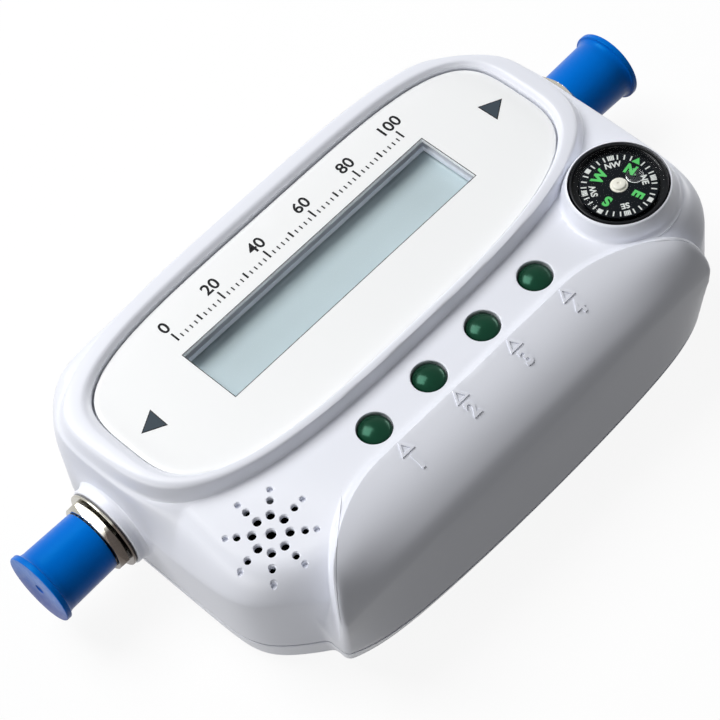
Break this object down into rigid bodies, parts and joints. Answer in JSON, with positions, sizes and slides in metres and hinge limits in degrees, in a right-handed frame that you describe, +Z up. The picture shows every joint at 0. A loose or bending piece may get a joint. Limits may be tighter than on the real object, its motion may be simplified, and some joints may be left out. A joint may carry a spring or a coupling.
{
  "type": "satellite signal meter",
  "caption": "Hand-held satellite signal meter: white moulded case with display, signal lamps, sound holes, compass, and a coaxial connector with a blue dust cap on each end.",
  "frame": {"origin": "on the base plane, under the connector axis, midway between the ends of the two dust caps", "axes": "+X along the connector axis towards the compass end, -Y towards the side with the lamps, +Z up out of the face panel"},
  "size_m": [0.13, 0.0658, 0.0297],
  "materials": {
    "white_plastic": "satin moulded plastic, cool white",
    "white_film": "smooth white printed film",
    "clear_plastic": "clear polished plastic",
    "display_glass": "pale grey-green liquid crystal glass",
    "grey_plastic": "matte",
    "green_lens": "dark green clear lens",
    "black_plastic": "black, smooth",
    "black_card": "matte black",
    "bright_steel": "polished",
    "nickel_plate": "bright nickel plate",
    "contact_brass": "bright",
    "tin_plate": "dull tin plate",
    "blue_plastic": "soft satin plastic, saturated blue",
    "board_green": "solder mask over fibreglass",
    "insulator_white": "matte",
    "contact_rubber": "matte"
  },
  "bodies": {
    "meter": {"top_shell": "white_plastic", "bottom_cover": "white_plastic", "face_panel": "white_film", "display_window": "clear_plastic", "display_glass": "display_glass", "display_holder": "grey_plastic", "display_contact_strip": "contact_rubber", "main_board": "board_green", "rf_shield_can": "tin_plate", "control_chip": "black_plastic", "voltage_regulator": "black_plastic", "choke_coil": "grey_plastic", "smoothing_capacitor": "black_plastic", "buzzer": "black_plastic", "signal_lamp_1": "green_lens", "signal_lamp_2": "green_lens", "signal_lamp_3": "green_lens", "signal_lamp_4": "green_lens", "compass_cup": "black_plastic", "compass_pivot": "bright_steel", "compass_dome": "clear_plastic", "left_connector_barrel": "nickel_plate", "left_insulator": "insulator_white", "left_centre_contact": "contact_brass", "left_washer": "nickel_plate", "left_hex_nut": "nickel_plate", "right_connector_barrel": "nickel_plate", "right_insulator": "insulator_white", "right_centre_contact": "contact_brass", "right_washer": "nickel_plate", "right_hex_nut": "nickel_plate", "cover_screw_1": "bright_steel", "cover_screw_2": "bright_steel", "cover_screw_3": "bright_steel", "cover_screw_4": "bright_steel", "board_screw_1": "bright_steel", "board_screw_2": "bright_steel"},
    "compass_disc": {"compass_card": "black_card"},
    "left_cap": {"left_dust_cap": "blue_plastic"},
    "right_cap": {"right_dust_cap": "blue_plastic"}
  },
  "joints": [
    {"name": "compass_card_spin", "type": "hinge", "parent": "meter", "child": "compass_disc", "pos_m": [0.0386, -0.0263, 0.0265], "axis": [0, 0, 1], "continuous": true},
    {"name": "left_cap_pull", "type": "slide", "parent": "meter", "child": "left_cap", "axis": [-1, 0, 0], "range_m": [0, 0.012]},
    {"name": "right_cap_pull", "type": "slide", "parent": "meter", "child": "right_cap", "axis": [1, 0, 0], "range_m": [0, 0.012]}
  ]
}
